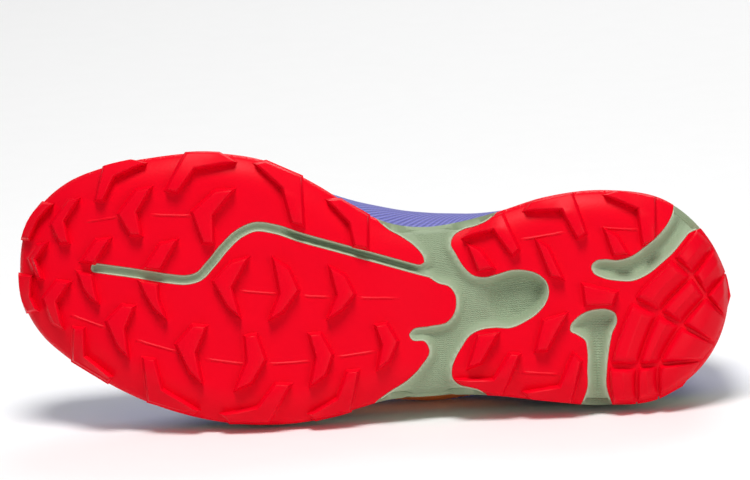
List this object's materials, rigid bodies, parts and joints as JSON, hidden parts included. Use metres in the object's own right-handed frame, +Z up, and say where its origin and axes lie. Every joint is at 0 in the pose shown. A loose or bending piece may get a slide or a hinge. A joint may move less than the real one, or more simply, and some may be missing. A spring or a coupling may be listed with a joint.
{
  "type": "trail running shoe",
  "caption": "Low right trail running shoe lying on its outer side, with a two-piece lugged rubber outsole, cupped foam midsole and laced fabric upper.",
  "frame": {"origin": "on the floor under the middle of the shoe as it lies on its outer side", "axes": "+X from the toe to the heel, +Y from the sole to the collar, +Z up from the floor towards the shoe's inner side"},
  "size_m": [0.2994, 0.115, 0.1166],
  "materials": {
    "red_rubber": "matt rubber",
    "sage_foam": "matt moulded foam",
    "violet_fabric": "woven",
    "indigo_fabric": "padded cloth",
    "insole_cloth": "cloth over foam",
    "sage_cord": "flat woven lace",
    "bumper": "welded film",
    "indigo_trim": "welded film",
    "orange_trim": "welded film"
  },
  "bodies": {
    "root": {"outsole_forefoot": "red_rubber", "outsole_heel": "red_rubber", "midsole": "sage_foam", "upper": "violet_fabric", "tongue": "indigo_fabric", "insole": "insole_cloth", "laces": "sage_cord", "toe_cap": "bumper", "heel_counter": "bumper", "eyestay_medial": "indigo_trim", "eyestay_lateral": "indigo_trim", "quarter_lateral": "orange_trim"}
  },
  "joints": []
}
